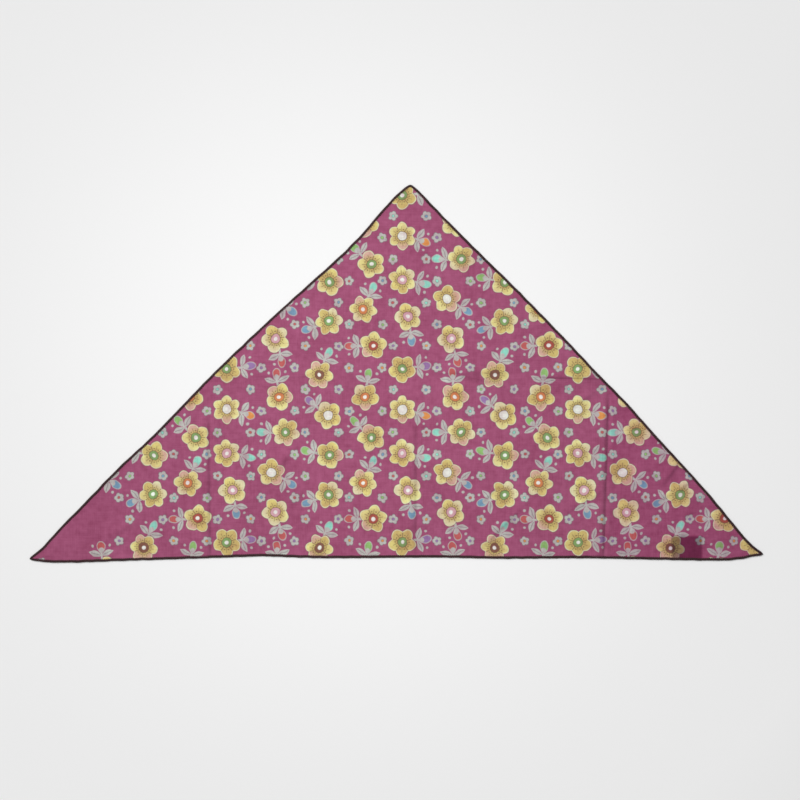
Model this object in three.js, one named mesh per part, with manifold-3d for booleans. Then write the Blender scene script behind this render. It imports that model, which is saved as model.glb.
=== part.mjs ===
import * as THREE from 'three';
import { mergeVertices } from 'three/addons/utils/BufferGeometryUtils.js';
import Module from 'manifold-3d';

// A triangular neckerchief laid flat: one printed cloth panel, a thread-rolled hem along each
// of its three edges, and a label tape that lies under the panel, caught in the long edge's hem.
// Millimetres. X runs along the long edge, Y towards the apex, Z up from the surface below.

// Cut of the cloth, between the middles of the hems
const baseWidth = 778;
const apexHeight = 397.5;
const apexAcross = 404;      // apex from the left tip, along X
const rightTipRise = 4.9;    // the long edge lies a little askew
const edgeWander = 5;        // the bows in the edge tables are shares of this

// Cloth and hem
const clothThickness = 1;
const hemWidth = 2.3;
const hemHeight = 1.8;
const hemSides = 8;
const hemStep = 11;          // one straight stretch of a hem
const seamGap = 0.3;         // between neighbouring pieces

// Label tape
const labelWidth = 32;
const labelDepth = 22;       // from the middle of the hem
const labelThickness = 1;
const labelFromTip = 64.5;   // its right side, from the right tip
const labelMargin = 2;       // the cloth stays up this far past the label
const labelSlope = 9;        // and comes down over this length

// Folds that packing pressed in, and the ripples between them
const foldLift = 1.8;
const foldCrest = 5;         // from the bottom of a fold to the crest beside it
const foldReach = 17;        // from the bottom of a fold to where the cloth is flat again
const foldFade = 26;         // a fold dies away over this length at its ends
const rippleLift = 1.5;
const rippleHalfWidth = 17;
const rippleHalfLength = 40;
const gridPitch = 14;        // longest side of a facet of the panel

// Edge tables: share of the way along the edge, and bow outwards as a share of edgeWander
const leftEdge = [           // left tip to apex
  { along: 0, bow: 0 },
  { along: 0.03, bow: -0.36 },
  { along: 0.08, bow: -0.06 },
  { along: 0.14, bow: 0.06 },
  { along: 0.24, bow: 0.34 },
  { along: 0.32, bow: 0.08 },
  { along: 0.4, bow: 0.26 },
  { along: 0.48, bow: 0.5 },
  { along: 0.56, bow: 0.44 },
  { along: 0.64, bow: 0.22 },
  { along: 0.72, bow: -0.14 },
  { along: 0.82, bow: -0.6 },
  { along: 0.88, bow: -0.44 },
  { along: 0.92, bow: 0 },
  { along: 0.98, bow: 0.2 },
  { along: 1, bow: -0.16 },
];
const rightEdge = [          // apex to right tip
  { along: 0, bow: -0.16 },
  { along: 0.02, bow: 0.08 },
  { along: 0.08, bow: 0.1 },
  { along: 0.2, bow: 0.4 },
  { along: 0.28, bow: 0.72 },
  { along: 0.44, bow: 0.92 },
  { along: 0.52, bow: 0.86 },
  { along: 0.6, bow: 1 },
  { along: 0.68, bow: 0.72 },
  { along: 0.84, bow: 0.32 },
  { along: 0.92, bow: -0.3 },
  { along: 0.97, bow: -0.54 },
  { along: 1, bow: 0 },
];
const baseEdge = [           // left tip to right tip
  { along: 0, bow: 0 },
  { along: 0.015, bow: 0.4 },
  { along: 0.05, bow: 0.62 },
  { along: 0.12, bow: 0.34 },
  { along: 0.2, bow: 0.02 },
  { along: 0.28, bow: -0.32 },
  { along: 0.32, bow: -0.46 },
  { along: 0.36, bow: -0.2 },
  { along: 0.4, bow: 0 },
  { along: 0.56, bow: 0.04 },
  { along: 0.64, bow: 0.36 },
  { along: 0.76, bow: 0.38 },
  { along: 0.84, bow: 0.7 },
  { along: 0.92, bow: 1.02 },
  { along: 0.95, bow: 1.02 },
  { along: 0.975, bow: 0.66 },
  { along: 0.99, bow: 0.1 },
  { along: 1, bow: 0 },
];

// Fold tables. Places are shares of baseWidth across and of apexHeight up, from the left tip,
// lifts are shares of foldLift for the crest before and the crest after the bottom of the fold.
const uprightFolds = [
  { across: 0.246, from: -0.05, to: 0.38, before: 0.8, after: 0.5 },
  { across: 0.5275, from: -0.05, to: 0.5, before: 0.6, after: 0.4 },
  { across: 0.787, from: -0.05, to: 0.43, before: 1, after: 0.7 },
];
const levelFolds = [
  { up: 0.484, from: 0.26, to: 0.38, before: 0.3, after: 0.3 },
  { up: 0.484, from: 0.55, to: 0.66, before: 0.5, after: 0.5 },
  { up: 0.484, from: 0.69, to: 0.79, before: 0.9, after: 0.9 },
];
// Ripples: middle, turn in degrees from X, and lift as a share of rippleLift
const ripples = [
  { across: 0.634, up: 0.19, turn: 37, lift: 0.9 },
  { across: 0.644, up: 0.075, turn: 44, lift: 0.8 },
  { across: 0.757, up: 0.15, turn: 36, lift: 0.7 },
  { across: 0.746, up: 0.42, turn: 38, lift: 0.6 },
  { across: 0.882, up: 0.19, turn: 34, lift: 1 },
  { across: 0.4, up: 0.3, turn: 30, lift: 0.5 },
  { across: 0.13, up: 0.08, turn: 25, lift: 0.5 },
];

// The solids that only cut are much taller than the relief
const cuttingHeight = 10 * (hemHeight + foldLift + rippleLift);

const wasm = await Module();
wasm.setup();

const leftTip = new THREE.Vector2(0, 0);
const rightTip = new THREE.Vector2(baseWidth, rightTipRise);
const apex = new THREE.Vector2(apexAcross, apexHeight);

function toSolid(geometry) {
  const bare = geometry.clone();
  bare.deleteAttribute('normal');
  bare.deleteAttribute('uv');
  const welded = mergeVertices(bare);
  const vertProperties = new Float32Array(welded.attributes.position.array);
  const triVerts = new Uint32Array(welded.index.array);
  return new wasm.Manifold(new wasm.Mesh({ numProp: 3, vertProperties, triVerts }));
}

function toGeometry(solid) {
  const mesh = solid.getMesh();
  const geometry = new THREE.BufferGeometry();
  geometry.setAttribute('position', new THREE.BufferAttribute(mesh.vertProperties, 3));
  geometry.setIndex(new THREE.BufferAttribute(mesh.triVerts, 1));
  geometry.computeVertexNormals();
  return geometry;
}

// The middle line of a hem. Outwards is to the right of the way from start to end when
// side is 1, and to the left when it is -1. It may run past its ends by overrun.
function hemLine(start, end, side, table, height, overrun) {
  const way = end.clone().sub(start);
  const along = way.clone().normalize();
  const outwards = new THREE.Vector2(along.y, -along.x).multiplyScalar(side);
  const points = table.map((row) => start.clone()
    .addScaledVector(way, row.along)
    .addScaledVector(outwards, row.bow * edgeWander));
  if (overrun > 0) {
    const first = points[0].clone().sub(points[1]).setLength(overrun).add(points[0]);
    const count = points.length;
    const last = points[count - 1].clone().sub(points[count - 2]).setLength(overrun).add(points[count - 1]);
    points.unshift(first);
    points.push(last);
  }
  return new THREE.CatmullRomCurve3(points.map((point) => new THREE.Vector3(point.x, point.y, height)));
}

const edges = {
  left: { start: leftTip, end: apex, side: -1, table: leftEdge },
  right: { start: apex, end: rightTip, side: -1, table: rightEdge },
  base: { start: leftTip, end: rightTip, side: 1, table: baseEdge },
};

function edgeLine(name, height = 0, overrun = 0) {
  const edge = edges[name];
  return hemLine(edge.start, edge.end, edge.side, edge.table, height, overrun);
}

// A bar of an even-sided section along a line. The section's x lies along Z, its y across.
function bar(line, section) {
  const steps = Math.ceil(line.getLength() / hemStep);
  return toSolid(new THREE.ExtrudeGeometry(section, { steps, extrudePath: line }));
}

function roundedSection(width, height) {
  const points = [];
  const flatToFlat = Math.cos(Math.PI / hemSides);
  for (let i = 0; i < hemSides; i += 1) {
    const turn = ((i + 0.5) / hemSides) * 2 * Math.PI;
    const x = (Math.cos(turn) / flatToFlat) * (height / 2);
    const y = (Math.sin(turn) / flatToFlat) * (width / 2);
    points.push(new THREE.Vector2(x, y));
  }
  return new THREE.Shape(points);
}

function squareSection(width, height) {
  const x = height / 2;
  const y = width / 2;
  return new THREE.Shape([
    new THREE.Vector2(x, -y),
    new THREE.Vector2(x, y),
    new THREE.Vector2(-x, y),
    new THREE.Vector2(-x, -y),
  ]);
}

function hemBar(name, overrun) {
  return bar(edgeLine(name, hemHeight / 2, overrun), roundedSection(hemWidth, hemHeight));
}

// What a neighbour has to leave free for a hem
function hemRoom(name) {
  const width = hemWidth + 2 * seamGap;
  return bar(edgeLine(name, 0, 2 * hemWidth), squareSection(width, cuttingHeight));
}

// All that lies beyond the bisector of the apex, seen from the side of the named hem
function beyondApex(name) {
  const towardsLeft = leftTip.clone().sub(apex).normalize();
  const towardsRight = rightTip.clone().sub(apex).normalize();
  const across = towardsRight.clone().sub(towardsLeft).normalize();
  if (name === 'right') across.negate();
  const size = baseWidth;
  const block = new THREE.BoxGeometry(size, size, cuttingHeight);
  block.translate(size / 2 - seamGap / 2, 0, 0);
  block.rotateZ(across.angle());
  block.translate(apex.x, apex.y, 0);
  return toSolid(block);
}

// The largest of the solids that a cut leaves
function largest(solid) {
  return solid.decompose().reduce((best, next) => (next.volume() > best.volume() ? next : best));
}

function sideHem(name) {
  const whole = hemBar(name, hemWidth);
  return largest(whole.subtract(hemRoom('base')).subtract(beyondApex(name)));
}

function baseHem() {
  return hemBar('base', 0);
}

// Height of a fold at a distance past its bottom line, between 0 and its crest
function foldProfile(distance, fold) {
  const away = Math.abs(distance);
  const crest = distance < 0 ? fold.before : fold.after;
  if (away <= foldCrest) return (crest * away) / foldCrest;
  return crest * Math.max(0, (foldReach - away) / (foldReach - foldCrest));
}

// 1 between from and to, dying away over foldFade inside both ends
function fade(value, from, to) {
  const inside = Math.min(value - from, to - value) / foldFade;
  return THREE.MathUtils.smoothstep(inside, 0, 1);
}

function rippleHeight(x, y, ripple) {
  const turn = THREE.MathUtils.degToRad(ripple.turn);
  const dx = x - ripple.across * baseWidth;
  const dy = y - ripple.up * apexHeight;
  const along = (dx * Math.cos(turn) + dy * Math.sin(turn)) / rippleHalfLength;
  const across = (dy * Math.cos(turn) - dx * Math.sin(turn)) / rippleHalfWidth;
  if (Math.abs(along) >= 1 || Math.abs(across) >= 1) return 0;
  const bump = Math.cos((along * Math.PI) / 2) * Math.cos((across * Math.PI) / 2);
  return bump ** 2 * ripple.lift * rippleLift;
}

const labelRight = baseWidth - labelFromTip;
const labelLeft = labelRight - labelWidth;
const hemAtLabel = edgeLine('base').getPoint((labelLeft + labelRight) / 2 / baseWidth).y;
const labelTop = hemAtLabel + labelDepth;

// The cloth is carried over the label, flat on top and sloping down to the surface around it
function labelHeight(x, y) {
  const outside = Math.max(labelLeft - x, x - labelRight, y - labelTop, 0);
  const down = (outside - labelMargin) / labelSlope;
  return (labelThickness + seamGap) * THREE.MathUtils.clamp(1 - down, 0, 1);
}

function relief(x, y) {
  const overLabel = labelHeight(x, y);
  if (overLabel > 0) return overLabel;
  let height = 0;
  for (const fold of uprightFolds) {
    const distance = x - fold.across * baseWidth;
    const strength = fade(y, fold.from * apexHeight, fold.to * apexHeight);
    height += foldLift * foldProfile(distance, fold) * strength;
  }
  for (const fold of levelFolds) {
    const distance = y - fold.up * apexHeight;
    const strength = fade(x, fold.from * baseWidth, fold.to * baseWidth);
    height += foldLift * foldProfile(distance, fold) * strength;
  }
  for (const ripple of ripples) height += rippleHeight(x, y, ripple);
  return height;
}

// Lines from low to high through all the keys, none further apart than gridPitch
function gridLines(low, high, keys) {
  const stops = [low, ...keys.filter((key) => key > low && key < high), high].sort((a, b) => a - b);
  const lines = [low];
  for (let i = 1; i < stops.length; i += 1) {
    const count = Math.ceil((stops[i] - stops[i - 1]) / gridPitch);
    for (let k = 1; k <= count; k += 1) {
      lines.push(THREE.MathUtils.lerp(stops[i - 1], stops[i], k / count));
    }
  }
  return lines;
}

function foldKeys(middle) {
  return [middle - foldReach, middle - foldCrest, middle, middle + foldCrest, middle + foldReach];
}

// A sheet of cloth larger than the panel, with its grid lines on the folds and the label
function clothSheet() {
  const labelFoot = labelMargin + labelSlope;
  const columns = gridLines(-gridPitch, baseWidth + gridPitch, [
    ...uprightFolds.flatMap((fold) => foldKeys(fold.across * baseWidth)),
    labelLeft - labelFoot,
    labelLeft - labelMargin,
    labelRight + labelMargin,
    labelRight + labelFoot,
  ]);
  const rows = gridLines(-gridPitch, apexHeight + gridPitch, [
    ...foldKeys(levelFolds[0].up * apexHeight),
    labelTop + labelMargin,
    labelTop + labelFoot,
  ]);
  const across = columns.length - 1;
  const up = rows.length - 1;
  const sheet = new THREE.BoxGeometry(across, up, clothThickness, across, up, 1);
  const position = sheet.attributes.position;
  for (let i = 0; i < position.count; i += 1) {
    const x = columns[Math.round(position.getX(i) + across / 2)];
    const y = rows[Math.round(position.getY(i) + up / 2)];
    const z = position.getZ(i) + clothThickness / 2 + relief(x, y);
    position.setXYZ(i, x, y, z);
  }
  return toSolid(sheet);
}

// The ground between the middle lines of the three hems
function outlinePrism() {
  const loop = [];
  const addEdge = (name, backwards) => {
    const line = edgeLine(name);
    const points = line.getSpacedPoints(Math.ceil(line.getLength() / hemStep));
    if (backwards) points.reverse();
    loop.push(...points.slice(0, -1).map((point) => new THREE.Vector2(point.x, point.y)));
  };
  addEdge('base', false);
  addEdge('right', true);
  addEdge('left', true);
  const prism = new THREE.ExtrudeGeometry(new THREE.Shape(loop), { depth: cuttingHeight, bevelEnabled: false });
  prism.translate(0, 0, -cuttingHeight / 2);
  return toSolid(prism);
}

function panel() {
  const cut = clothSheet().intersect(outlinePrism());
  const free = ['left', 'right', 'base'].reduce((rest, name) => rest.subtract(hemRoom(name)), cut);
  return largest(free);
}

function label() {
  const tape = new THREE.BoxGeometry(labelWidth, labelDepth, labelThickness);
  tape.translate((labelLeft + labelRight) / 2, labelTop - labelDepth / 2, labelThickness / 2);
  return toSolid(tape).subtract(hemRoom('base'));
}

const printedCloth = new THREE.MeshStandardMaterial({ color: 0x9c4d71, roughness: 0.85, metalness: 0 });
const hemThread = new THREE.MeshStandardMaterial({ color: 0x2a1e1a, roughness: 0.7, metalness: 0 });
const labelTape = new THREE.MeshStandardMaterial({ color: 0x3c2430, roughness: 0.6, metalness: 0 });

function piece(name, solid, material) {
  const mesh = new THREE.Mesh(toGeometry(solid), material);
  mesh.name = name;
  return mesh;
}

const group = new THREE.Group();
group.add(piece('panel', panel(), printedCloth));
group.add(piece('hem_left', sideHem('left'), hemThread));
group.add(piece('hem_right', sideHem('right'), hemThread));
group.add(piece('hem_base', baseHem(), hemThread));
group.add(piece('label', label(), labelTape));

// The origin is on the surface below, under the middle of the whole kerchief
const box = new THREE.Box3().setFromObject(group);
const middle = box.getCenter(new THREE.Vector3());
group.position.set(-middle.x, -middle.y, -box.min.z);

export default group;
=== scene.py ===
import math

import bpy
import numpy as np
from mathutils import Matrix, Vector
from mathutils.bvhtree import BVHTree


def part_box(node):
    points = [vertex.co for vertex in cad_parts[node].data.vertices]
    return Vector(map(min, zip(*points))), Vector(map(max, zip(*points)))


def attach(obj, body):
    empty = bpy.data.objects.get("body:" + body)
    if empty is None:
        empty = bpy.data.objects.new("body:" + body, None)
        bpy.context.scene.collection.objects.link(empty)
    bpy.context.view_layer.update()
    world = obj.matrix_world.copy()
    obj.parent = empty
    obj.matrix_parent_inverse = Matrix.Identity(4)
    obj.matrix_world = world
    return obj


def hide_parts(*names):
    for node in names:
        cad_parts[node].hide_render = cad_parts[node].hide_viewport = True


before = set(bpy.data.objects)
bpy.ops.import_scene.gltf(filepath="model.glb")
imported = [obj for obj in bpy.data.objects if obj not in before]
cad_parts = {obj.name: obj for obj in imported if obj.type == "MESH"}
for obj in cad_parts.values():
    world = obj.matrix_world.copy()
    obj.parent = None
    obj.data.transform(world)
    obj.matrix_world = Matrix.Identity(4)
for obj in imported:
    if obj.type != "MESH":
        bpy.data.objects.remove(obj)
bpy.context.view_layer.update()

# The cloth, its hems and its label are worked out in millimetres and turned to metres as meshes.
mm = 0.001
tiny = 1e-9                   # keeps a division from meeting 0
rng = np.random.default_rng(17)
print("frame loaded:", sorted(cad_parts))


# The picture: seen from straight above, at the distance that a long lens needs.
shot = {
    "across": 849.5,          # mm of floor from side to side
    "middle": (4.0, -28.4),   # mm from the kerchief's own middle
    "lens": 100.0,
    "sensor": 36.0,
}

light = {
    "sky": 0.33,              # what comes evenly from all round
    "window": {"power": 459.0, "size": 4.8, "from": (-4.4, 3.6, 5.4), "to": (0, 0, 0)},
    "lamp": {"power": 1.14, "size": 0.4, "from": (-0.06, 0.03, 0.5), "to": (-0.06, 0.03, 0)},
}

# The floor is painted darker round its dim spot and paler away from it: painted light that evens out
# the lamps' falloff.
floorLook = {
    "size": 20.0,             # m
    "near": (233, 233, 233),
    "far": (253, 253, 253),
    "paintedDimSpot": (-180, 160, 0),  # mm, where the floor is painted darkest
    "reach": 780,             # mm from near to far
    "roughness": 0.9,
    "shine": 0.2,
}


def linear(colour):
    # A colour as a screen shows it, 0 to 255, as the light values that a shader takes.
    shares = [part / 255 for part in colour]
    return tuple(s / 12.92 if s <= 0.04045 else ((s + 0.055) / 1.055) ** 2.4 for s in shares) + (1.0,)


class Value:
    # A shader socket that can be added, scaled and compared like a number.
    def __init__(self, look, socket):
        self.look = look
        self.socket = socket

    def math(self, operation, first, second=0.0, clamp=False):
        settings = {"operation": operation, "use_clamp": clamp}
        return self.look.add("ShaderNodeMath", settings, {0: first, 1: second})

    def __add__(self, other):
        return self.math("ADD", self, other)

    def __radd__(self, other):
        return self.math("ADD", other, self)

    def __sub__(self, other):
        return self.math("SUBTRACT", self, other)

    def __rsub__(self, other):
        return self.math("SUBTRACT", other, self)

    def __mul__(self, other):
        return self.math("MULTIPLY", self, other)

    def __rmul__(self, other):
        return self.math("MULTIPLY", other, self)

    def __truediv__(self, other):
        return self.math("DIVIDE", self, other)

    def __mod__(self, other):
        return self.math("FLOORED_MODULO", self, other)

    def __abs__(self):
        return self.math("ABSOLUTE", self)

    def __gt__(self, other):
        return self.math("GREATER_THAN", self, other)

    def __and__(self, other):
        return self.math("MINIMUM", self, other)

    def __or__(self, other):
        return self.math("MAXIMUM", self, other)

    def floor(self):
        return self.math("FLOOR", self)

    def cos(self):
        return self.math("COSINE", self)

    def sin(self):
        return self.math("SINE", self)

    def clamped(self):
        return self.math("ADD", self, 0.0, clamp=True)


class Look:
    # One material: its nodes are added one by one, and a Principled shader ends it.
    def __init__(self, name):
        self.material = bpy.data.materials.new(name)
        self.material.use_nodes = True
        self.tree = self.material.node_tree
        self.tree.nodes.clear()

    def add(self, kind, settings=None, sockets=None, out=0):
        node = self.tree.nodes.new(kind)
        for key, setting in (settings or {}).items():
            if key == "stops":
                self.setStops(node.color_ramp, setting)
            else:
                setattr(node, key, setting)
        for key, given in (sockets or {}).items():
            if isinstance(given, Value):
                self.tree.links.new(given.socket, node.inputs[key])
            else:
                node.inputs[key].default_value = given
        return Value(self, node.outputs[out] if node.outputs else None)

    def setStops(self, ramp, stops):
        # each colour holds from its own stop to the next
        ramp.interpolation = "CONSTANT"
        while len(ramp.elements) < len(stops):
            ramp.elements.new(1.0)
        for element, (place, colour) in zip(ramp.elements, stops):
            element.position = place
            element.color = colour

    def mix(self, mask, under, over, blend="MIX"):
        settings = {"data_type": "RGBA", "blend_type": blend}
        return self.add("ShaderNodeMix", settings, {0: mask, 6: under, 7: over}, out=2)

    def vector(self, operation, first, second=(0, 0, 0), scale=1.0, out=0):
        settings = {"operation": operation}
        return self.add("ShaderNodeVectorMath", settings, {0: first, 1: second, 3: scale}, out)

    def split(self, vector):
        parts = self.add("ShaderNodeSeparateXYZ", None, {0: vector}).socket.node.outputs
        return [Value(self, part) for part in parts]

    def join(self, x, y, z=0.0):
        return self.add("ShaderNodeCombineXYZ", None, {0: x, 1: y, 2: z})

    def place(self):
        # where the surface is, in mm
        where = self.add("ShaderNodeTexCoord", out=3)
        return self.vector("SCALE", where, scale=1 / mm)

    def painted(self, name):
        # a value that the mesh keeps at each of its points
        return self.add("ShaderNodeAttribute", {"attribute_name": name}, out=2)

    def noise(self, vector, scale, detail, out=0):
        sockets = {"Vector": vector, "Scale": scale, "Detail": detail}
        return self.add("ShaderNodeTexNoise", None, sockets, out)

    def bump(self, height, distance, strength):
        sockets = {"Height": height, "Distance": distance, "Strength": strength}
        return self.add("ShaderNodeBump", None, sockets)

    def finish(self, **sockets):
        named = {key.replace("_", " "): given for key, given in sockets.items()}
        shader = self.add("ShaderNodeBsdfPrincipled", None, named)
        self.add("ShaderNodeOutputMaterial", None, {0: shader})
        return self.material


def makeMesh(name, points, faces, smooth=True):
    # points in mm, as an array of rows; faces as lists or arrays of point numbers
    mesh = bpy.data.meshes.new(name)
    mesh.from_pydata((np.asarray(points) * mm).tolist(), [], [list(map(int, face)) for face in faces])
    mesh.validate()
    mesh.polygons.foreach_set("use_smooth", [smooth] * len(mesh.polygons))
    mesh.update()
    piece = bpy.data.objects.new(name, mesh)
    bpy.context.collection.objects.link(piece)
    return piece


# Camera, light and floor.
def makeStage():
    height = shot["across"] * shot["lens"] / shot["sensor"]
    camera = bpy.data.objects.new("camera", bpy.data.cameras.new("camera"))
    camera.data.lens = shot["lens"]
    camera.data.sensor_width = shot["sensor"]
    camera.location = (shot["middle"][0] * mm, shot["middle"][1] * mm, height * mm)
    bpy.context.collection.objects.link(camera)
    bpy.context.scene.camera = camera

    for name in ("window", "lamp"):
        about = light[name]
        source = bpy.data.objects.new(name, bpy.data.lights.new(name, "AREA"))
        source.data.energy = about["power"]
        source.data.size = about["size"]
        source.location = about["from"]
        ray = Vector(about["to"]) - Vector(about["from"])
        source.rotation_euler = ray.to_track_quat("-Z", "Y").to_euler()
        source.visible_camera = False
        bpy.context.collection.objects.link(source)

    world = bpy.data.worlds.new("sky")
    world.use_nodes = True
    sky = world.node_tree.nodes["Background"]
    sky.inputs["Color"].default_value = (1, 1, 1, 1)
    sky.inputs["Strength"].default_value = light["sky"]
    bpy.context.scene.world = world
    bpy.context.scene.view_settings.view_transform = "Standard"

    half = floorLook["size"] / 2 / mm
    corners = [(-half, -half, 0), (half, -half, 0), (half, half, 0), (-half, half, 0)]
    floor = makeMesh("floor", corners, [(0, 1, 2, 3)], smooth=False)
    look = Look("paleFloor")
    # painted light: paler the farther from the dim spot
    away = look.vector("DISTANCE", look.place(), floorLook["paintedDimSpot"], out=1) / floorLook["reach"]
    share = (away * away).clamped()
    floor.data.materials.append(look.finish(
        Base_Color=look.mix(share, linear(floorLook["near"]), linear(floorLook["far"])),
        Roughness=floorLook["roughness"],
        Specular_IOR_Level=floorLook["shine"],
    ))


makeStage()
print("camera, light and floor made")


# The hems' middle lines, read from the rings of points that the solids are made of.
hem = {
    "lineStep": 1.0,            # mm between the points of its middle line
    "halfWidth": 1.10,          # of the rolled core
    "halfHeight": 0.50,
    "coreSides": 12,
    "coreStep": 2.0,
    "lift": 0.84,               # the core's middle over the floor
    "sway": 0.09,               # how far it wanders sideways
    "swayWaves": (5, 12, 34),   # how many waves make that up, the shortest and the longest
    "swayFade": 10.0,           # how far from the line's ends it dies away
    "heave": 0.16,              # how far it wanders up and down
    "heaveWaves": (5, 16, 60),
    "tipLength": 3.0,           # the tips of the long edge thin out over this
    "tipShare": 0.35,           # down to this much of the full thickness
    "threadRadius": 0.21,
    "threadSides": 5,
    "threadStand": 0.55,        # how far its middle is off the core, as a share of its radius
    "pitch": 0.86,              # from one turn of the thread to the next
    "turnPoints": 9,
    "slip": 0.5,                # how far a turn strays, in radians
    "slipWaves": (6, 2.5, 9),
    "stitchLength": 1.7,
    "stitchGap": 0.5,
    "stitchRadius": 0.17,
    "stitchSides": 6,
    "stitchInset": 1.46,        # of the needle's row from the middle line
    "stitchFrom": 6.0,          # of the first and the last stitch from the hem's ends
    "needleFrom": 20.0,         # over the floor, from where a stitch comes down on the cloth
    "apexArc": 2.4,             # how far from the apex the two slanting hems begin to turn
    "apexSight": 5,             # how many points from it their headings are taken
    "apexRun": 0.3,             # how far they run on over each other
    "runSight": 3,
}

# The points of a stitch: how far along it, how deep in the cloth in mm, and how thick it is there.
stitchPoints = ((0, 0.16, 0.5), (0.12, -0.04, 1), (0.5, -0.08, 1), (0.88, -0.04, 1), (1, 0.16, 0.5))


def unit(vectors):
    return vectors / np.linalg.norm(vectors, axis=1)[:, None]


def lengths(points):
    return np.concatenate([[0], np.cumsum(np.linalg.norm(np.diff(points, axis=0), axis=1))])


def resample(points, step):
    reach = lengths(points)
    even = np.linspace(0, reach[-1], int(round(reach[-1] / step)) + 1)
    return np.stack([np.interp(even, reach, points[:, k]) for k in range(points.shape[1])], axis=1)


def waveSum(x, count, shortest, longest):
    # a run of slow waves along one line, about 1 high
    total = np.zeros_like(x)
    for _ in range(count):
        total += np.cos(2 * np.pi * (x / rng.uniform(shortest, longest) + rng.random()))
    return total * math.sqrt(2 / count)


def nodePoints(name):
    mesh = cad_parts[name].data
    flat = np.empty(len(mesh.vertices) * 3)
    mesh.vertices.foreach_get("co", flat)
    return np.unique(np.round(flat.reshape(-1, 3) / mm, 3), axis=0)


def ringMiddles(name, start, end, gap=3.0):
    # the middle of each ring of a bar that runs from start to end
    points = nodePoints(name)
    along = np.subtract(end, start) / np.linalg.norm(np.subtract(end, start))
    reach = points[:, :2] @ along
    order = np.argsort(reach)
    breaks = np.flatnonzero(np.diff(reach[order]) > gap) + 1
    return np.array([ring.mean(axis=0) for ring in np.split(points[order], breaks)])


def curveThrough(points, step, spanPoints=12):
    # a Catmull-Rom curve through the points, then points on it at even steps
    padded = np.vstack([2 * points[0] - points[1], points, 2 * points[-1] - points[-2]])
    t = np.linspace(0, 1, spanPoints, endpoint=False)[:, None]
    fine = []
    for before, start, end, after in zip(padded, padded[1:], padded[2:], padded[3:]):
        fine.append(0.5 * (2 * start + (end - before) * t
                           + (2 * before - 5 * start + 4 * end - after) * t**2
                           + (3 * start - 3 * end + after - before) * t**3))
    return resample(np.vstack(fine + [points[-1:]]), step)


def roundApex(left, right):
    # bends the end of the left line and the start of the right one onto one small arc
    apex = left[-1].copy()
    sights = (left[-1 - hem["apexSight"]] - apex, right[hem["apexSight"]] - apex)
    before, after = (apex + sight * hem["apexArc"] / np.linalg.norm(sight) for sight in sights)
    for line, near, far in ((left, before, after), (right, after, before)):
        away = np.linalg.norm(line - apex, axis=1)[:, None]
        t = 0.5 - 0.5 * away / hem["apexArc"]
        arc = (1 - t) ** 2 * near + 2 * t * (1 - t) * apex + t**2 * far
        line[:] = np.where(t > 0, arc, line)


def findEdges():
    # each edge's middle line and its height, from one tip of the kerchief to another
    low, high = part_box("hem_base")
    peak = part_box("hem_left")[1]
    leftTip, rightTip, top = np.array([(low.x, low.y), (high.x, low.y), (peak.x, peak.y)]) / mm
    base = ringMiddles("hem_base", leftTip, rightTip)
    left = ringMiddles("hem_left", leftTip, top)
    right = ringMiddles("hem_right", top, rightTip)
    apex = (left[-1] + right[0]) / 2
    left = np.vstack([base[:1], left[1:-1], [apex]])
    right = np.vstack([[apex], right[1:-1], base[-1:]])
    found = {}
    for name, points in (("hem_left", left), ("hem_right", right), ("hem_base", base)):
        line = curveThrough(points[:, :2], hem["lineStep"])
        reach = lengths(line)
        aside = unit(np.gradient(line, axis=0)[:, ::-1] * (-1, 1))
        inward = np.minimum(reach, reach[-1] - reach) / hem["swayFade"]
        ends = np.sin(np.pi / 2 * np.clip(inward, 0, 1))
        line = line + aside * (hem["sway"] * waveSum(reach, *hem["swayWaves"]) * ends)[:, None]
        wave = waveSum(reach, *hem["heaveWaves"])
        rise = hem["lift"] + hem["heave"] * (0.5 + 0.5 * np.tanh(wave))
        found[name] = np.column_stack([line, rise])
    roundApex(found["hem_left"][:, :2], found["hem_right"][:, :2])
    return found


edges = findEdges()
print("hem lines read:", {name: len(line) for name, line in edges.items()})


# The cloth: two layers of one triangular net, from hem to hem. Lengths are in mm.
cloth = {
    "divisions": 300,         # of each edge
    "thickness": 0.34,
    "clearance": 0.04,        # of its underside over what it lies on
    "softness": 0.12,         # how softly it settles there
    "edgePull": 7,            # how fast an edge's own bends die away inside the cloth
    "rimReach": 2.4,          # over which it climbs into its rolled hem
    "swells": ((0.42, 9, 70, 190), (0.13, 9, 22, 46)),  # height, number, shortest and longest
    "swellBend": 0.08,        # how far their crests stray, as a share of their length
    "swellTurns": 2.1,        # and how often
    "puckerHeight": 0.20,
    "puckerReach": 8.0,       # in from the hems
    "puckerWaves": (6, 14, 26),
    "gather": 0.62,           # how much closer the net is at a crease
    "gatherReach": 7.0,
    "gatherFade": 30,
    "calm": 0.8,              # how much of the swells a crease takes away
    "calmReach": 7,
    "paintedShadeAt": -0.5,           # to the right of a crease's dip, where its painted shade is darkest
    "paintedShadeLeft": 3.2,          # how far the painted shade reaches from there
    "paintedShadeRight": 1.5,
    "rippleRun": 0.62,        # how slowly a ripple sinks to its ends, as a share of its length
    "steepShadeAt": 0.7,           # where the painted shade on its steep side is darkest, as a share of that side's reach
    "steepShadeReach": 0.6,
    "labelClimb": 2.0,        # over which it climbs onto the label
    "labelOutside": 0.8,      # how much of that climb lies outside the label's edge
    "labelCalm": 0.5,         # how much of its unevenness the label takes away
    "mapSpread": 0.985,       # of each layer on the flat map
    "mapInset": 0.004,
}
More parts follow.
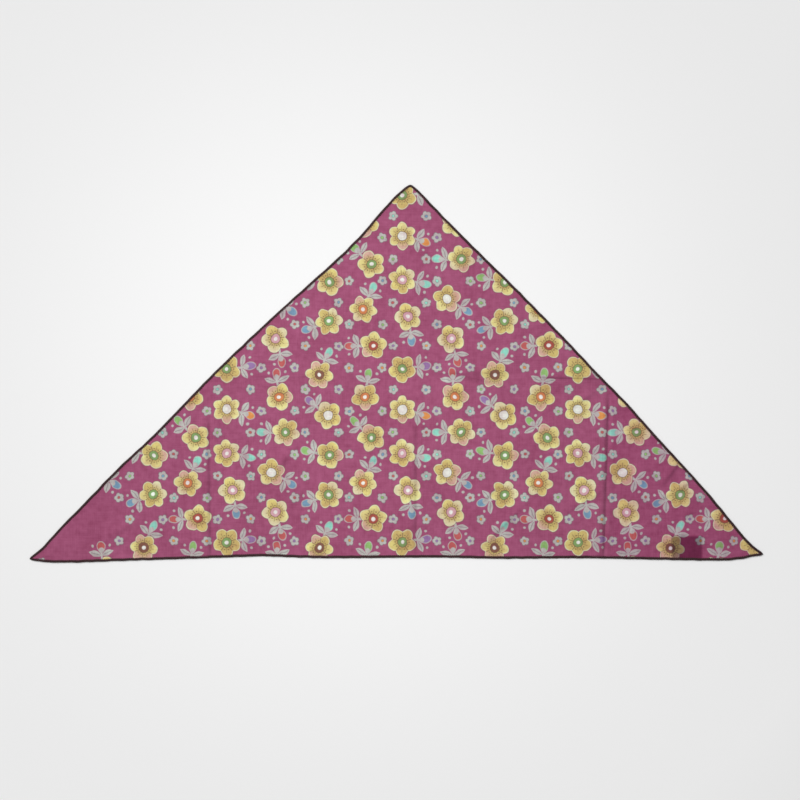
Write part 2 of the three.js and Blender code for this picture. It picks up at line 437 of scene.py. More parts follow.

# Packing creases: ends as shares of the width and the height, the rise at each side of the dip
# and how far each side reaches in mm, over how much the ends fade out, and how much painted shade
# darkens the dip.
creaseColumns = ("start", "end", "left", "right", "leftReach", "rightReach", "fade", "dark")
creases = [
    ((0.2475, -0.02), (0.2450, 0.38), 1.5, 0.9, 4.8, 3.2, 40, 0.15),
    ((0.5275, -0.02), (0.5280, 0.36), 1.0, 0.6, 4.6, 3.4, 90, 0.12),
    ((0.7835, -0.02), (0.7905, 0.43), 1.9, 1.2, 4.8, 3.2, 30, 0.16),
    ((0.3850, 0.486), (0.2600, 0.483), 0.6, 0.5, 4.6, 3.6, 30, 0.07),
    ((0.6500, 0.4965), (0.5550, 0.494), 1.0, 1.0, 4.4, 3.4, 24, 0.16),
    ((0.6450, 0.464), (0.5850, 0.490), 0.9, 0.9, 4.4, 3.4, 18, 0.13),
    ((0.7850, 0.480), (0.6900, 0.484), 1.5, 1.8, 4.8, 3.8, 24, 0.15),
]

# Slanting ripples: ends as above, a height, how far the gentle left side and the steep right
# side reach, and how much painted shade darkens the steep side.
rippleColumns = ("start", "end", "height", "gentle", "steep", "dark")
ripples = [
    ((0.616, 0.033), (0.664, 0.127), 1.0, 8.0, 2.8, 0.17),
    ((0.614, 0.150), (0.645, 0.210), 1.0, 8.0, 2.8, 0.16),
    ((0.628, 0.150), (0.648, 0.190), 0.6, 5.0, 2.8, 0.13),
    ((0.737, 0.133), (0.783, 0.190), 0.7, 8.0, 3.0, 0.09),
    ((0.730, 0.400), (0.770, 0.450), 0.7, 8.0, 3.0, 0.09),
    ((0.865, 0.207), (0.885, 0.261), 1.1, 7.0, 2.8, 0.15),
    ((0.880, 0.167), (0.900, 0.214), 1.0, 6.0, 2.8, 0.15),
    ((0.854, 0.156), (0.875, 0.176), 0.8, 7.0, 3.0, 0.13),
    ((0.885, 0.105), (0.915, 0.140), 0.6, 7.0, 3.0, 0.09),
    ((0.331, 0.223), (0.355, 0.290), 1.0, 9.0, 4.0, 0.11),
    ((0.357, 0.150), (0.372, 0.185), 0.8, 9.0, 5.0, 0.09),
    ((0.380, 0.270), (0.425, 0.340), 0.5, 9.0, 4.5, 0.06),
    ((0.105, 0.060), (0.150, 0.105), 0.5, 8.0, 4.0, 0.06),
    ((0.440, 0.560), (0.475, 0.640), 0.4, 9.0, 5.0, 0.05),
    ((0.325, 0.020), (0.350, 0.110), 0.5, 8.0, 4.0, 0.06),
]


def smoothStep(t):
    t = np.clip(t, 0, 1)
    return t * t * (3 - 2 * t)


def fadeEnds(along, length, fade):
    # 1 along a line, and softly down to 0 at its two ends
    return smoothStep(along / fade + 0.5) * smoothStep((length - along) / fade + 0.5)


def beside(x, y, row, size, corner):
    # how far along a crease or ripple, how far to its right, and its length and heading
    start, end = np.array(row[:2]) * size + corner
    length = np.linalg.norm(end - start)
    run = (end - start) / length
    along = (x - start[0]) * run[0] + (y - start[1]) * run[1]
    aside = (x - start[0]) * run[1] - (y - start[1]) * run[0]
    return along, aside, length, run


def gather(flat, size, corner):
    # draws the net's points closer together along each crease and ripple, so that it can be sharp
    for row in creases + ripples:
        along, aside, length, run = beside(flat[:, 0], flat[:, 1], row, size, corner)
        ends = fadeEnds(along, length, cloth["gatherFade"])
        draw = -cloth["gather"] * ends * aside * np.exp(-(aside / cloth["gatherReach"]) ** 2)
        flat[:, 0] += draw * run[1]
        flat[:, 1] -= draw * run[0]


def relief(x, y, size, corner):
    # how far the cloth stands off the floor, before it settles, and how much painted shade its folds
    # get
    height = np.zeros_like(x)
    dark = np.zeros_like(x)
    for rise, count, shortest, longest in cloth["swells"]:
        swell = np.zeros_like(x)
        for _ in range(count):
            heading = rng.uniform(0, np.pi)
            length = rng.uniform(shortest, longest)
            way = x * math.cos(heading) + y * math.sin(heading)
            crest = y * math.cos(heading) - x * math.sin(heading)
            bend = cloth["swellBend"] * length * np.sin(crest / length * cloth["swellTurns"])
            swell += np.cos(2 * np.pi * ((way + bend) / length + rng.random()))
        height += rise * swell * math.sqrt(2 / count)
    for row in creases:
        crease = dict(zip(creaseColumns, row))
        along, aside, length, _ = beside(x, y, row, size, corner)
        ends = fadeEnds(along, length, crease["fade"])
        reach = np.where(aside < 0, crease["leftReach"], crease["rightReach"])
        rise = np.where(aside < 0, crease["left"], crease["right"])
        away = np.abs(aside) / reach
        shoulder = rise * away * np.exp(1 - away)
        calm = cloth["calm"] * ends * np.exp(-(aside / cloth["calmReach"]) ** 2)
        height = height * (1 - calm) + ends * shoulder
        # painted shade along the crease's dip, darkest just to its right
        lean = np.where(aside < cloth["paintedShadeAt"], cloth["paintedShadeLeft"], cloth["paintedShadeRight"])
        shade = np.exp(-((aside - cloth["paintedShadeAt"]) / lean) ** 2)
        dark = np.maximum(dark, crease["dark"] * ends * shade)
    for row in ripples:
        ripple = dict(zip(rippleColumns, row))
        along, aside, length, _ = beside(x, y, row, size, corner)
        middle = (along - length / 2) / (length * cloth["rippleRun"])
        reach = np.where(aside < 0, ripple["gentle"], ripple["steep"])
        height += ripple["height"] * np.exp(-(aside / reach) ** 2 - middle**2)
        # painted shade along the ripple's steep side
        steepest = (aside / ripple["steep"] - cloth["steepShadeAt"]) / cloth["steepShadeReach"]
        dark = np.maximum(dark, ripple["dark"] * np.exp(-steepest**2 - middle**2))
    return height, dark


def settle(height):
    # presses what would be below the floor softly onto it
    soft = cloth["softness"]
    return soft * np.logaddexp(0, height / soft)


def makeNet(n):
    # a triangle's points, as steps to the right and up, its cells and the points round its rim
    steps = [(i, j) for j in range(n + 1) for i in range(n + 1 - j)]
    number = {pair: k for k, pair in enumerate(steps)}
    cells = []
    for i, j in steps:
        if i + j < n:
            cells.append((number[i, j], number[i + 1, j], number[i, j + 1]))
        if i + j < n - 1:
            cells.append((number[i + 1, j], number[i + 1, j + 1], number[i, j + 1]))
    rim = [number[i, 0] for i in range(n)]
    rim += [number[n - j, j] for j in range(n)]
    rim += [number[0, n - j] for j in range(n)]
    return np.array(steps), np.array(cells), rim


def makeLayers(name, over, under, cells, rim):
    # a thin closed piece: an upper and a lower layer, and a strip that joins them round the rim
    count = len(over)
    following = rim[1:] + rim[:1]
    sides = [(here + count, ahead + count, ahead, here) for here, ahead in zip(rim, following)]
    faces = cells.tolist() + (cells[:, ::-1] + count).tolist() + sides
    return makeMesh(name, np.vstack([over, under]), faces)


def flatMap(piece, shares, rimFrom):
    # the print's own flat map: the upper layer fills one half of a square, the lower one the other
    upper = shares * cloth["mapSpread"] + cloth["mapInset"]
    both = np.vstack([upper, 1 - upper])
    loops = np.empty(len(piece.data.loops), dtype=int)
    piece.data.loops.foreach_get("vertex_index", loops)
    places = both[loops]
    places[rimFrom:] = upper[loops[rimFrom:] % len(shares)]
    piece.data.uv_layers.new(name="OFBake").data.foreach_set("uv", places.ravel())


def makeCloth():
    net, cells, rim = makeNet(cloth["divisions"])
    right = net[:, 0] / cloth["divisions"]
    up = net[:, 1] / cloth["divisions"]
    left = 1 - right - up
    base, leftEdge, rightEdge = edges["hem_base"], edges["hem_left"], edges["hem_right"]
    leftTip, rightTip, apex = base[0, :2], base[-1, :2], leftEdge[-1, :2]
    flat = left[:, None] * leftTip + right[:, None] * rightTip + up[:, None] * apex
    # each edge: its line, the shares towards its far and near end and away from it, its chord
    kinds = (
        (base, right, left, up, rightTip - leftTip),
        (leftEdge, up, left, right, apex - leftTip),
        (rightEdge, right, up, left, apex - rightTip),
    )
    twiceArea = abs(np.cross(rightTip - leftTip, apex - leftTip))
    rimHeight = np.zeros(len(net))
    rimShare = np.zeros(len(net))
    pucker = np.zeros(len(net))
    away = np.full(len(net), np.inf)
    for line, far, near, off, chord in kinds:
        share = np.clip(far / np.maximum(far + near, tiny), 0, 1)
        reach = lengths(line[:, :2])
        spots = share * reach[-1]
        pull = (1 - off) ** cloth["edgePull"]
        for axis in (0, 1):
            onLine = np.interp(spots, reach, line[:, axis])
            onChord = line[0, axis] + share * (line[-1, axis] - line[0, axis])
            flat[:, axis] += (onLine - onChord) * pull
        distance = off * (twiceArea / np.linalg.norm(chord))
        weight = np.exp(-distance / cloth["rimReach"])
        rimHeight += weight * np.interp(spots, reach, line[:, 2])
        rimShare += weight
        away = np.minimum(away, distance)
        wave = waveSum(reach, *cloth["puckerWaves"])
        pucker += np.interp(spots, reach, wave) * np.exp(-distance / cloth["puckerReach"])
    size = (rightTip[0] - leftTip[0], apex[1] - leftTip[1])
    gather(flat, size, leftTip)
    x, y = flat[:, 0], flat[:, 1]
    low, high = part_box("label")
    overLabel = np.ones(len(net))
    for inside in (x - low.x / mm, high.x / mm - x, high.y / mm - y):
        overLabel *= smoothStep(inside / cloth["labelClimb"] + cloth["labelOutside"])
    height, dark = relief(x, y, size, leftTip)
    height = (height + cloth["puckerHeight"] * pucker) * (1 - cloth["labelCalm"] * overLabel)
    height = settle(height) + (cloth["clearance"] + overLabel * label["thickness"])
    rimLift = rimHeight / np.maximum(rimShare, tiny) - cloth["thickness"] / 2
    blend = np.exp(-away / cloth["rimReach"])
    height = height * (1 - blend) + rimLift * blend
    under = np.column_stack([x, y, height])
    piece = makeLayers("cloth", under + (0, 0, cloth["thickness"]), under, cells, rim)
    # the painted fold shade from relief() is kept on the points as "dark"
    for name, values in (("underside", np.repeat([0.0, 1.0], len(net))), ("dark", np.tile(dark, 2))):
        piece.data.attributes.new(name, "FLOAT", "POINT").data.foreach_set("value", values)
    flatMap(piece, np.column_stack([left, right]), 2 * cells.size)
    return piece


label = {
    "thickness": 0.42,        # mm
    "lift": 0.07,             # of its underside over the floor, at the middle of a rib's wave
    "tuck": 0.3,              # of its lower end over the hem's middle line
    "rows": 14,
    "ribs": 0.62,             # from one rib to the next
    "ribSteps": 4,
    "ribHeight": 0.035,
    "border": 1.6,            # of the closer weave along its edges
    "borderRib": 0.4,         # how much of a rib's height is left there
    "dark": (44, 28, 36),
    "pale": (78, 54, 66),
    "fibre": 3.0,             # fibres to a mm
    "roughness": 0.5,
    "roughSpread": 0.2,
    "bumpDepth": 0.05,        # mm
    "bump": 0.5,
    "sheen": 0.1,
}


def makeLabel():
    # a ribbed tape under the cloth, its lower end caught in the hem
    low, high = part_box("label")
    left, right, top = low.x / mm, high.x / mm, high.y / mm
    columns = int((right - left) / label["ribs"]) * label["ribSteps"]
    x = np.linspace(left, right, columns + 1)
    bottom = np.interp(x, edges["hem_base"][:, 0], edges["hem_base"][:, 1]) + label["tuck"]
    share = np.linspace(0, 1, label["rows"] + 1)[:, None]
    gridY = bottom * (1 - share) + top * share
    gridX = np.broadcast_to(x, gridY.shape)
    border = np.minimum(np.minimum(gridX - left, right - gridX), top - gridY) < label["border"]
    rib = label["ribHeight"] * np.cos(2 * np.pi * gridX / label["ribs"])
    rib = np.where(border, label["borderRib"] * rib + label["ribHeight"], rib)
    flatTop = np.full_like(rib, cloth["clearance"] + label["thickness"])
    over = np.stack([gridX, gridY, flatTop], axis=2).reshape(-1, 3)
    under = np.stack([gridX, gridY, label["lift"] - rib], axis=2).reshape(-1, 3)
    number = np.arange(len(over)).reshape(gridY.shape)
    corners = (number[:-1, :-1], number[:-1, 1:], number[1:, 1:], number[1:, :-1])
    rim = [*number[0], *number[1:, -1], *number[-1, -2::-1], *number[-2:0:-1, 0]]
    return makeLayers("label_tape", over, under, np.stack(corners, axis=2).reshape(-1, 4), rim)


def tube(path, across, upward, sides, first):
    # a closed tube: across and upward are the half axes of its ring at each point of the path
    turn = np.linspace(0, 2 * np.pi, sides, endpoint=False)[None, :, None]
    rings = path[:, None] + np.cos(turn) * across[:, None] + np.sin(turn) * upward[:, None]
    k = np.arange(sides)
    following = (k + 1) % sides
    here = first + np.arange(len(path) - 1)[:, None] * sides
    ahead = here + sides
    quads = np.stack([here + k, here + following, ahead + following, ahead + k], axis=2)
    last = first + (len(path) - 1) * sides
    faces = quads.reshape(-1, 4).tolist()
    faces += [(first + k[::-1]).tolist(), (last + k).tolist()]
    return rings.reshape(-1, 3), faces


def hemLine(name):
    # the edge's middle line, run on a little at the apex so that the two hems close its corner
    line, back = edges[name], hem["runSight"]
    if name == "hem_left":
        return np.vstack([line, line[-1] + unit(line[-1:] - line[-1 - back]) * hem["apexRun"]])
    if name == "hem_right":
        return np.vstack([line[0] + unit(line[:1] - line[back]) * hem["apexRun"], line])
    return line


def makeHem(name, clothTree, inner):
    # a rolled core, a thread wound closely round it and a row of stitches on its inner side
    line = hemLine(name)
    points, faces = [], []

    def keep(path, across, upward, sides):
        more, skin = tube(path, across, upward, sides, sum(len(part) for part in points))
        points.append(more)
        faces.extend(skin)

    def asideAndUp(path):
        ahead = unit(np.gradient(path, axis=0))
        aside = unit(np.cross(ahead, (0, 0, 1)))
        return aside, np.cross(aside, ahead)

    def taper(path):
        # thinner at the two tips of the long edge, full at the apex
        reach = lengths(path)
        ends = np.full(len(path), 1.0)
        if name != "hem_right":
            ends = np.minimum(ends, reach / hem["tipLength"])
        if name != "hem_left":
            ends = np.minimum(ends, (reach[-1] - reach) / hem["tipLength"])
        return (hem["tipShare"] + (1 - hem["tipShare"]) * smoothStep(ends))[:, None]

    path = resample(line, hem["coreStep"])
    aside, up = asideAndUp(path)
    thin = taper(path)
    keep(path, up * hem["halfHeight"] * thin, aside * hem["halfWidth"] * thin, hem["coreSides"])

    path = resample(line, hem["pitch"] / hem["turnPoints"])
    aside, up = asideAndUp(path)
    thin = taper(path)
    reach = lengths(path)[:, None]
    angle = 2 * np.pi * reach / hem["pitch"] + hem["slip"] * waveSum(reach, *hem["slipWaves"])
    outward = np.cos(angle) * aside + np.sin(angle) * up
    stand = hem["threadStand"] * hem["threadRadius"]
    wound = path + thin * (np.cos(angle) * aside * (hem["halfWidth"] + stand)
                           + np.sin(angle) * up * (hem["halfHeight"] + stand))
    along = unit(np.gradient(wound, axis=0))
    out = unit(outward - along * np.sum(outward * along, axis=1)[:, None])
    keep(wound, out * hem["threadRadius"] * thin, np.cross(along, out) * hem["threadRadius"] * thin,
         hem["threadSides"])

    path = line + asideAndUp(line)[0] * hem["stitchInset"] * inner
    reach = lengths(path)
    shares, sinks, thicknesses = np.array(stitchPoints).T
    thick = thicknesses[:, None] * hem["stitchRadius"]
    step = hem["stitchLength"] + hem["stitchGap"]
    for start in np.arange(hem["stitchFrom"], lengths(line)[-1] - hem["stitchFrom"], step):
        spots = shares * hem["stitchLength"] + start
        stitch = np.stack([np.interp(spots, reach, path[:, k]) for k in range(3)], axis=1)
        for k, sink in enumerate(sinks):
            needle = (stitch[k, 0] * mm, stitch[k, 1] * mm, hem["needleFrom"] * mm)
            hit = clothTree.ray_cast(Vector(needle), Vector((0, 0, -1)))[0]
            stitch[k, 2] = hit.z / mm - sink
        aside, up = asideAndUp(stitch)
        keep(stitch, up * thick, aside * thick, hem["stitchSides"])
    return makeMesh(name + "_thread", np.vstack(points), faces)


# The print: blossoms with a stem, a bud and two leaves, turned about on a dropped grid,
# with a small floret in each gap. Lengths are in mm.
inks = {
    "ground": (150, 74, 107),
    "cream": (206, 199, 172),
    "ochre": (184, 161, 98),
    "line": (112, 84, 68),
    "grey": (174, 169, 166),
    "deepGrey": (122, 108, 114),
    "white": (220, 217, 210),
}
centreInks = [(211, 208, 200), (122, 150, 92), (158, 76, 64),
              (196, 150, 158), (122, 80, 66), (192, 118, 74)]
budInks = [(112, 144, 168), (176, 86, 86), (206, 136, 76),
           (134, 172, 104), (134, 194, 178), (142, 108, 154)]
petalInks = [(210, 197, 132), (206, 193, 156), (212, 201, 140),
             (194, 171, 108), (196, 157, 142), (208, 191, 120)]

printing = {
    "column": 46.6,           # between the columns of the grid
    "row": 46.0,
    "repeat": 4,              # columns and rows before it all comes again
    "shift": (9.0, 17.0),     # of the whole print on the cloth
    "edgeSoftness": 0.85,
    "wobble": 1.5,            # how far a drawn line strays
    "wobbleSize": 11,
    "lobes": 0.28,            # how deeply petals are parted
    "spin": 6.28,             # how far chance turns a motif, in radians
    "bareFrom": (-350, -184),  # a strip along the left edge stays bare
    "bareTo": (-312, -147),
    "bareReach": 19,
}

blossom = {
    "draw": 1.5,              # which row of chances is its own
    "at": (-5.9, 5.4),        # from the middle of its spray
    "radius": 14.0,
    "sixFrom": 0.6,           # from this chance on it has six petals, otherwise five
    "outline": 0.9,
    "rim": 0.5,               # the dark line round the outline
    "petalDraw": 50,
    "petalFade": (2.2, 0.84),  # how fast a petal pales outwards, and what that starts after
    "parting": 0.4,           # half the width of the line between two petals
    "vein": 0.25,
    "veinTo": 0.74,           # of the radius
    "lineInset": 0.2,         # of all these lines from the petals' edge
    "beadsAt": 0.53,          # of the radius
    "beadReach": 0.8,
    "beadParting": 1.2,
    "drawing": 0.85,          # how strongly lines and beads show
    "centre": 4.8,
    "centreRim": 0.6,
    "eye": 0.42,              # of the centre
}

# A stem has its two ends and half its width; a bud, a calyx and a leaf have a middle,
# half a length, half a width and a heading in degrees.
spray = {
    "draw": 0.5,
    "push": 200,              # moves a spray whose place stays bare out of its cell
    "stem": ((2.7, -2.9), (8.6, -9.2), 1.2),
    "bud": ((11.7, -12.7), 5.0, 3.6, -47),
    "budRim": 0.7,
    "calyx": ((8.8, -9.6), 3.0, 2.8, -47),
    "leaves": (((12.0, -2.9), 6.7, 3.0, 22), ((1.9, -12.2), 6.7, 3.0, -117)),
    "leafRib": 0.25,
    "ribTo": 0.7,             # of the leaf's half length
    "berries": ((18.6, -7.0), (5.5, -19.1)),
    "berryRadius": 1.4,
}

floret = {
    "draw": 2.5,
    "sideDraw": 7,
    "push": 40,
    "aside": 17.6,            # to each side of a column's middle
    "radius": 5.0,
    "petals": 5,
    "rim": 0.6,
    "ring": 1.7,
    "eye": 1.3,
}


def lineFacts(start, end):
    # a line's middle, its heading in degrees and half its length
    (x0, y0), (x1, y1) = start, end
    heading = math.degrees(math.atan2(y1 - y0, x1 - x0))
    return ((x0 + x1) / 2, (y0 + y1) / 2), heading, math.hypot(x1 - x0, y1 - y0) / 2


class Print:
    # the coloured inks on the cloth, as one colour over the place in mm
    def __init__(self, look, where):
        self.look = look
        stray = look.noise(where, 1 / printing["wobbleSize"], 1, out=1)
        stray = look.vector("SUBTRACT", stray, (0.5, 0.5, 0.5))
        stray = look.vector("SCALE", stray, scale=2 * printing["wobble"])
        drawn = look.vector("ADD", look.vector("ADD", where, stray), printing["shift"] + (0,))
        self.x, self.y = look.split(drawn)[:2]

    def cell(self, drop):
        # the nearest place of the grid: the offset from it and its own column and row
        wide, high = printing["column"], printing["row"]
        column = (self.x / wide).floor()
        moved = self.y + (column % 2) * (high / 2) + drop
        row = (moved / high).floor()
        u = self.x - (column + 0.5) * wide
        v = moved - (row + 0.5) * high
        return u, v, column, row

    def kept(self, u, v):
        # 0 for a motif whose middle lies in the place that stays bare, otherwise 1
        (x, y), heading, half = lineFacts(printing["bareFrom"], printing["bareTo"])
        middle = (x + printing["shift"][0], y + printing["shift"][1])
        along, aside = self.turned(self.x - u, self.y - v, middle, heading)
        return ((abs(along) - half) | abs(aside)) > printing["bareReach"]

    def chances(self, column, row, draw):
        # three numbers from 0 to 1 that belong to one place of the repeat
        every = printing["repeat"]
        spot = self.look.join(column % every, row % every, draw)
        return self.look.split(self.look.add("ShaderNodeTexWhiteNoise", None, {0: spot}, out=1))

    def cover(self, distance, soft=printing["edgeSoftness"]):
        # 1 inside a shape and 0 outside it, from the distance to its edge
        settings = {"operation": "MULTIPLY_ADD", "use_clamp": True}
        return self.look.add("ShaderNodeMath", settings, {0: distance, 1: -1 / soft, 2: 0.5})

    def paint(self, colour, distance, ink):
        # an ink over the colour, inside a shape
        return self.look.mix(self.cover(distance), colour, ink)

    def spun(self, u, v, chance):
        # the place seen from a motif that chance has turned about its middle
        sockets = {"Vector": self.look.join(u, v), "Angle": chance * printing["spin"]}
        turned = self.look.add("ShaderNodeVectorRotate", {"rotation_type": "Z_AXIS"}, sockets)
        return self.look.split(turned)[:2]

    def turned(self, u, v, middle, degrees):
        # how far along and aside a place is from a shape's own middle and heading
        cos, sin = math.cos(math.radians(degrees)), math.sin(math.radians(degrees))
        along = (u - middle[0]) * cos + (v - middle[1]) * sin
        aside = (v - middle[1]) * cos - (u - middle[0]) * sin
        return along, aside

    def length(self, u, v):
        return self.look.vector("LENGTH", self.look.join(u, v), out=1)

    def oval(self, u, v, shape):
        middle, long, short, degrees = shape
        along, aside = self.turned(u, v, middle, degrees)
        return (self.length(along / long, aside / short) - 1) * short

    def leaf(self, u, v, shape):
        # the distance to a leaf's edge, and how far along and aside the place is
        middle, long, short, degrees = shape
        along, aside = self.turned(u, v, middle, degrees)
        return abs(aside) + along * along * (short / long**2) - short, along, aside

    def flower(self, u, v, radius, petals):
        # the distance to a flower's edge, how far from its middle, its petals' wave and the turn
        away = self.length(u, v)
        turn = v.math("ARCTAN2", v, u) * (petals * 0.5)
        wave = abs(turn.cos())
        return away - (wave * printing["lobes"] + (1 - printing["lobes"])) * radius, away, wave, turn

    def steps(self, chance, colours):
        # one of several inks, by chance
        stops = [(k / len(colours), linear(colour)) for k, colour in enumerate(colours)]
        return self.look.add("ShaderNodeValToRGB", {"stops": stops}, {0: chance})

    def florets(self, colour):
        u, v, column, row = self.cell(printing["row"] / 2)
        side = u > 0
        spin, _, pick = self.chances(column + side * floret["sideDraw"], row, floret["draw"])
        edge, away = self.flower(*self.spun(abs(u) - floret["aside"], v, spin),
                                 floret["radius"], floret["petals"])[:2]
        bare = 1 - self.kept(u - (side * 2 - 1) * floret["aside"], v)
        edge, away = edge + bare * floret["push"], away + bare * floret["push"]
        colour = self.paint(colour, edge - floret["rim"], linear(inks["deepGrey"]))
        colour = self.paint(colour, edge, linear(inks["grey"]))
        colour = self.paint(colour, away - floret["ring"], linear(inks["deepGrey"]))
        return self.paint(colour, away - floret["eye"], self.steps(pick, budInks))

    def sprays(self, colour):
        # each with its stem, leaves, bud and berries, and its blossom over them
        u, v, column, row = self.cell(0)
        spin, tone, _ = self.chances(column, row, spray["draw"])
        kind, warm, pick = self.chances(column, row, blossom["draw"])
        s, t = self.spun(u, v, spin)
        s = s + (1 - self.kept(u, v)) * spray["push"]
        grey, deepGrey = linear(inks["grey"]), linear(inks["deepGrey"])
        start, end, half = spray["stem"]
        middle, heading, long = lineFacts(start, end)
        along, aside = self.turned(s, t, middle, heading)
        colour = self.paint(colour, (abs(along) - long) | (abs(aside) - half), grey)
        for shape in spray["leaves"]:
            edge, along, aside = self.leaf(s, t, shape)
            colour = self.paint(colour, edge, grey)
            rib = (abs(aside) - spray["leafRib"]) | (abs(along) - shape[1] * spray["ribTo"])
            colour = self.paint(colour, rib, deepGrey)
        edge = self.oval(s, t, spray["bud"])
        colour = self.paint(colour, edge - spray["budRim"], grey)
        colour = self.paint(colour, edge, self.steps(pick, budInks))
        colour = self.paint(colour, self.oval(s, t, spray["calyx"]), grey)
        for x, y in spray["berries"]:
            colour = self.paint(colour, self.length(s - x, t - y) - spray["berryRadius"], grey)
        return self.blossoms(colour, s, t, (kind, warm, tone))

    def blossoms(self, colour, s, t, chances):
        kind, warm, tone = chances
        (x, y), radius = blossom["at"], blossom["radius"]
        dark = linear(inks["line"])
        petals = (kind > blossom["sixFrom"]) + 5
        edge, away, wave, turn = self.flower(s - x, t - y, radius, petals)
        colour = self.paint(colour, edge - blossom["outline"] - blossom["rim"], dark)
        colour = self.paint(colour, edge - blossom["outline"], linear(inks["cream"]))
        petal = (turn / math.pi + 0.5).floor() % petals
        spot = self.look.join(petal, kind * blossom["petalDraw"], warm * blossom["petalDraw"])
        chance = self.look.add("ShaderNodeTexWhiteNoise", None, {0: spot})
        fade, start = blossom["petalFade"]
        pale = (away * (fade / radius) - start).clamped()
        petalInk = self.look.mix(pale, linear(inks["ochre"]), self.steps(chance, petalInks))
        colour = self.paint(colour, edge, petalInk)
        across = 2 / 5                # turns a wave of five petals into mm from its line
        parting = away * wave * across - blossom["parting"]
        vein = away * abs(turn.sin()) * across - blossom["vein"]
        vein = vein | (away - radius * blossom["veinTo"])
        lines = (parting & vein) | (edge + blossom["lineInset"])
        beads = (abs(away - radius * blossom["beadsAt"]) - blossom["beadReach"]
                 + abs((turn * 2).cos()) * blossom["beadParting"])
        drawing = self.cover(lines & beads) * blossom["drawing"]
        colour = self.look.mix(drawing, colour, dark)
        centre = blossom["centre"]
        colour = self.paint(colour, away - centre - blossom["centreRim"], dark)
        colour = self.paint(colour, away - centre, self.steps(tone, centreInks))
        return self.paint(colour, away - centre * blossom["eye"], linear(inks["white"]))


clothFinish = {
    "patchSize": 34,          # mm across the dye's broad patches
    "patch": 0.40,            # how strongly they show
    # the crinkles' tone rises and falls with their bump: painted shade in their hollows, as well as
    # random mottling
    "crinkleSize": 6,
    "crinkle": 0.42,
    "threadSizes": (0.05, 1.4, 0.2),  # how closely its noise lies along, across and through it
    "thread": 0.26,
    "tint": (1, 1.8, 1.4),    # how much of all that shows in red, green and blue
    "darkenFrom": 223,          # right of this, in mm, the cloth is coloured darker, most in green
    "darkenOver": 8,
    "darkenBy": (0.02, 0.11, 0.04),
    "labelBlur": 2.6,         # mm, of the label's edges as they show through
    "labelThrough": 0.9,
    "labelGround": (154, 51, 99),  # the plain cloth over it, before the shade
    "labelShade": (0.40, 0.38, 0.42, 1),
    "underside": (186, 132, 152),
    "undersideShare": 0.45,
    "weave": 0.5,             # mm from one pair of threads to the next
    "weaveDepth": 0.02,
    "threadDepth": 0.05,
    "crinkleDepth": 0.5,
    "bump": 0.6,
    "roughness": 0.84,
    "roughSpread": 0.2,
    "shine": 0.25,
    "sheen": 0.06,
    "sheenRoughness": 0.5,
}


def clothLook():
    about = clothFinish
    look = Look("printedCloth")
    where = look.place()
    x, y = look.split(where)[:2]
    ink = Print(look, where)
    patch = look.noise(where, 1 / about["patchSize"], 3)
    crinkle = look.noise(where, 1 / about["crinkleSize"], 3)
    along, across, through = about["threadSizes"]
    grain = look.noise(look.vector("MULTIPLY", where, (along, across, through)), 1.0, 2)
    cross = look.noise(look.vector("MULTIPLY", where, (across, along, through)), 1.0, 2)
    # random mottling; its crinkle part is also painted shade, darker where the crinkle bump is low
    tone = ((patch - 0.5) * about["patch"] + (crinkle - 0.5) * about["crinkle"]
            + (grain + cross - 1) * about["thread"])
    # 1 less the painted fold shade kept on the mesh as "dark": it darkens the colour along creases
    # and ripples
    paintedFoldShadeFactor = 1 - look.painted("dark")
    # right of darkenFrom the cloth's colour is darker, most in green
    darkenShare = ((x - about["darkenFrom"]) / about["darkenOver"]).clamped()
    # painted fold shade, mottling and the darker right side, as one factor each for red, green and
    # blue
    shade = look.join(*(tone * tint + paintedFoldShadeFactor - darkenShare * darkenBy
                        for tint, darkenBy in zip(about["tint"], about["darkenBy"])))
    low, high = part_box("label")
    outside = (low.x / mm - x) | (x - high.x / mm) | (y - high.y / mm)
    through = ink.cover(outside, about["labelBlur"]) * about["labelThrough"]
    ground = look.mix(through, linear(inks["ground"]), linear(about["labelGround"]))
    colour = ink.sprays(ink.florets(ground))
    colour = look.mix(1.0, colour, shade, "MULTIPLY")
    under = look.painted("underside") * about["undersideShare"]
    colour = look.mix(under, colour, linear(about["underside"]))
    colour = look.mix(through, colour, about["labelShade"], "MULTIPLY")
    turns = 2 * math.pi / about["weave"]
    height = ((x * turns).sin() * (y * turns).sin() * about["weaveDepth"]
              + (grain + cross) * about["threadDepth"] + crinkle * about["crinkleDepth"])
    return look.finish(
        Base_Color=colour,
        Roughness=about["roughness"] + (patch - 0.5) * about["roughSpread"],
        Normal=look.bump(height, mm, about["bump"]),
        Specular_IOR_Level=about["shine"],
        Sheen_Weight=about["sheen"],
        Sheen_Roughness=about["sheenRoughness"],
    )


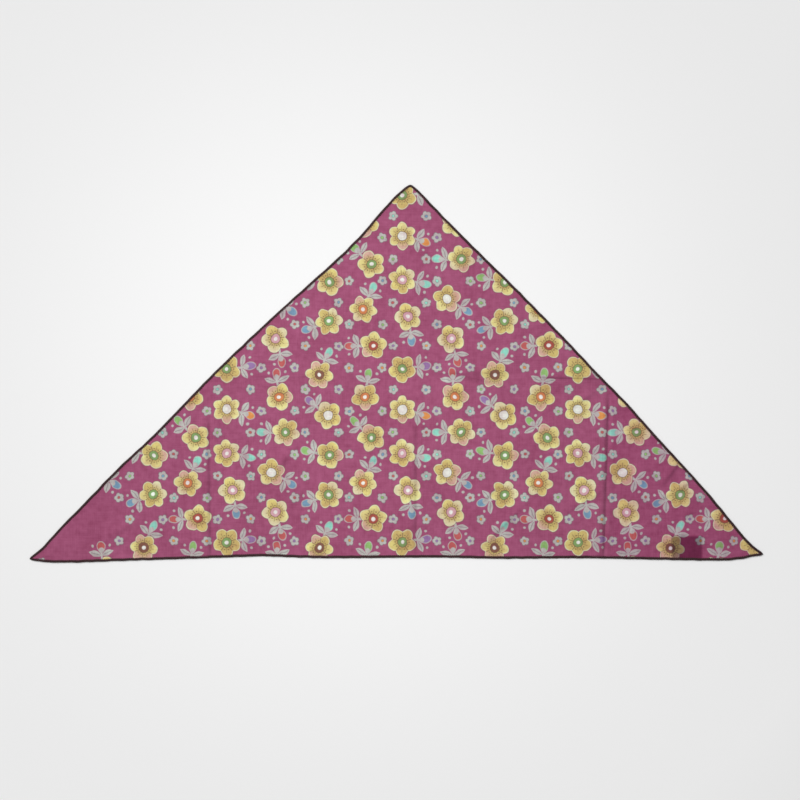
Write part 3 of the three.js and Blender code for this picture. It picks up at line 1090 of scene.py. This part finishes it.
threadFinish = {
    "dark": (30, 12, 15),
    "pale": (70, 40, 41),
    "fibre": 2.2,             # fibres to a mm
    "fibreShare": 0.7,
    "patchSize": 9,           # mm
    "patchShare": 0.6,
    "darker": 0.15,
    "roughness": 0.62,
    "roughSpread": 0.2,
    "bumpDepth": 0.1,         # mm
    "bump": 0.5,
    "shine": 0.3,
    "sheen": 0.1,
}


def hemLook():
    about = threadFinish
    look = Look("hemThread")
    where = look.place()
    fibre = look.noise(where, about["fibre"], 3)
    patch = look.noise(where, 1 / about["patchSize"], 2)
    tone = (fibre * about["fibreShare"] + patch * about["patchShare"] - about["darker"]).clamped()
    return look.finish(
        Base_Color=look.mix(tone, linear(about["dark"]), linear(about["pale"])),
        Roughness=about["roughness"] + fibre * about["roughSpread"],
        Normal=look.bump(fibre, about["bumpDepth"] * mm, about["bump"]),
        Specular_IOR_Level=about["shine"],
        Sheen_Weight=about["sheen"],
    )


def labelLook():
    look = Look("labelTape")
    where = look.place()
    x = look.split(where)[0]
    fibre = look.noise(where, label["fibre"], 2)
    rib = (x * (2 * math.pi / label["ribs"])).cos() * 0.5 + 0.5
    tone = (rib * 0.5 + fibre * 0.5).clamped()
    return look.finish(
        Base_Color=look.mix(tone, linear(label["dark"]), linear(label["pale"])),
        Roughness=label["roughness"] + fibre * label["roughSpread"],
        Normal=look.bump(fibre, label["bumpDepth"] * mm, label["bump"]),
        Sheen_Weight=label["sheen"],
    )


clothPiece = makeCloth()
print("cloth made:", len(clothPiece.data.polygons), "faces")
labelPiece = makeLabel()
print("label made:", len(labelPiece.data.polygons), "faces")
points = [vertex.co for vertex in clothPiece.data.vertices]
clothTree = BVHTree.FromPolygons(points, [tuple(face.vertices) for face in clothPiece.data.polygons])
hemPieces = {name: makeHem(name, clothTree, inner) for name, inner in
             (("hem_left", 1), ("hem_right", 1), ("hem_base", -1))}
print("hems made:", {name: len(piece.data.polygons) for name, piece in hemPieces.items()})

clothPiece.data.materials.append(clothLook())
labelPiece.data.materials.append(labelLook())
threadLook = hemLook()
for name, piece in hemPieces.items():
    piece.data.materials.append(threadLook)
    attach(piece, "root")
    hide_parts(name)
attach(clothPiece, "root")
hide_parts("panel")
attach(labelPiece, "root")
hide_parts("label")

print("pieces named, and materials given")
